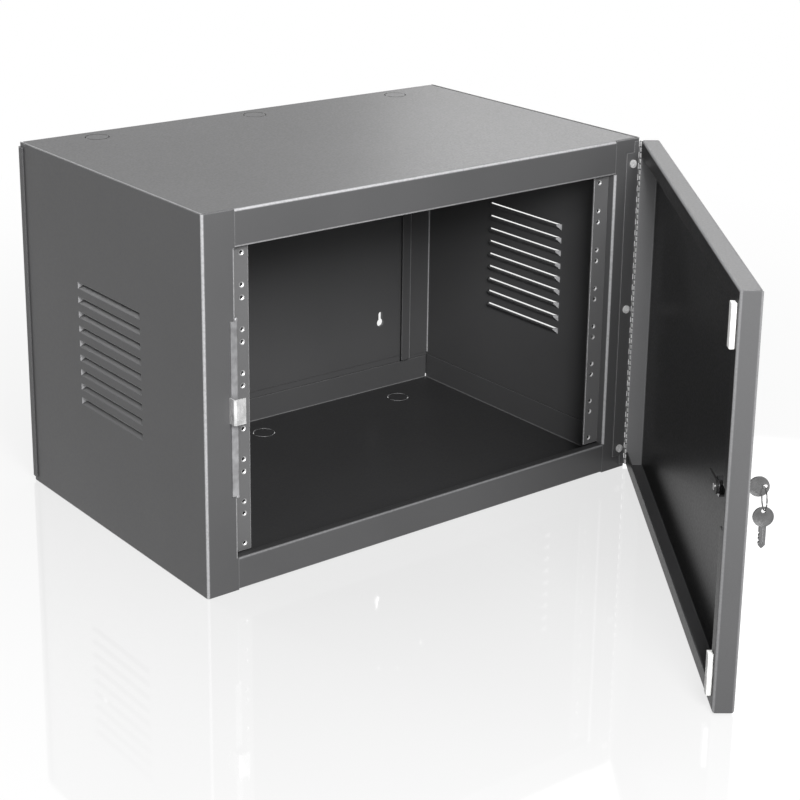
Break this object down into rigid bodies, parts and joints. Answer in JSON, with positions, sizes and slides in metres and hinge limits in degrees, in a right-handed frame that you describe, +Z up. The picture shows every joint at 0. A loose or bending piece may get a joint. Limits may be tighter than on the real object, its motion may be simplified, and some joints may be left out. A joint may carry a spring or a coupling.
{
  "type": "wall mount rack",
  "caption": "Lockable steel wall mount rack for 19 inch equipment, with louvred sides and a solid door on a piano hinge",
  "frame": {"origin": "centre of the cabinet's underside", "axes": "+Z up, X to the right as seen from the door side, which is -Y; +Y towards the wall"},
  "size_m": [0.5779, 0.8176, 0.3875],
  "materials": {
    "cabinet_paint": "satin dark grey powder coat",
    "door_paint": "satin dark grey powder coat",
    "rail_paint": "satin dark grey powder coat",
    "strike_zinc": "grey zinc with a satin face",
    "keeper_steel": "bright zinc plate",
    "hinge_paint": "bright knuckles and leaf",
    "hinge_steel": "drawn steel",
    "screw_steel": "bright zinc plate",
    "bumper_foam": "white foam",
    "lock_chrome": "polished",
    "lock_zinc": "die-cast zinc",
    "key_nickel": "nickel plate",
    "ring_steel": "drawn steel wire"
  },
  "bodies": {
    "cabinet": {"left_side_panel": "cabinet_paint", "right_side_panel": "cabinet_paint", "top_panel": "cabinet_paint", "bottom_panel": "cabinet_paint", "back_panel": "cabinet_paint", "wall_plate": "cabinet_paint", "rear_upright_left": "cabinet_paint", "rear_upright_right": "cabinet_paint", "rack_rail_left": "rail_paint", "rack_rail_right": "rail_paint", "strike_bar": "strike_zinc", "strike_keeper": "keeper_steel", "hinge_frame_leaf": "hinge_paint", "hinge_pin": "hinge_steel", "hinge_screws": "screw_steel"},
    "door": {"door_panel": "door_paint", "hinge_door_leaf": "hinge_paint", "door_bumper_upper": "bumper_foam", "door_bumper_lower": "bumper_foam", "lock_body": "lock_chrome", "lock_nut": "lock_zinc"},
    "lock_barrel": {"lock_plug": "lock_chrome", "lock_cam": "lock_zinc", "cam_screw": "screw_steel", "key_in_lock": "key_nickel"},
    "key_ring": {"key_ring": "ring_steel"},
    "spare_key": {"spare_key": "key_nickel"}
  },
  "joints": [
    {"name": "door_hinge", "type": "hinge", "parent": "cabinet", "child": "door", "pos_m": [0.282, -0.1859, 0.19375], "axis": [0, 0, 1], "range_deg": [-52.85, 121.8]},
    {"name": "lock_turn", "type": "hinge", "parent": "door", "child": "lock_barrel", "pos_m": [-0.00214, -0.59777, 0.19375], "axis": [0.8007, -0.599, 0], "range_deg": [0, 180]},
    {"name": "ring_swing", "type": "hinge", "parent": "lock_barrel", "child": "key_ring", "pos_m": [0.01668, -0.61184, 0.19255], "axis": [-0.599, -0.8007, 0], "range_deg": [-10, 80]},
    {"name": "spare_key_swing", "type": "hinge", "parent": "key_ring", "child": "spare_key", "pos_m": [0.01668, -0.61184, 0.17215], "axis": [-0.599, -0.8007, 0], "range_deg": [-15, 80]}
  ]
}
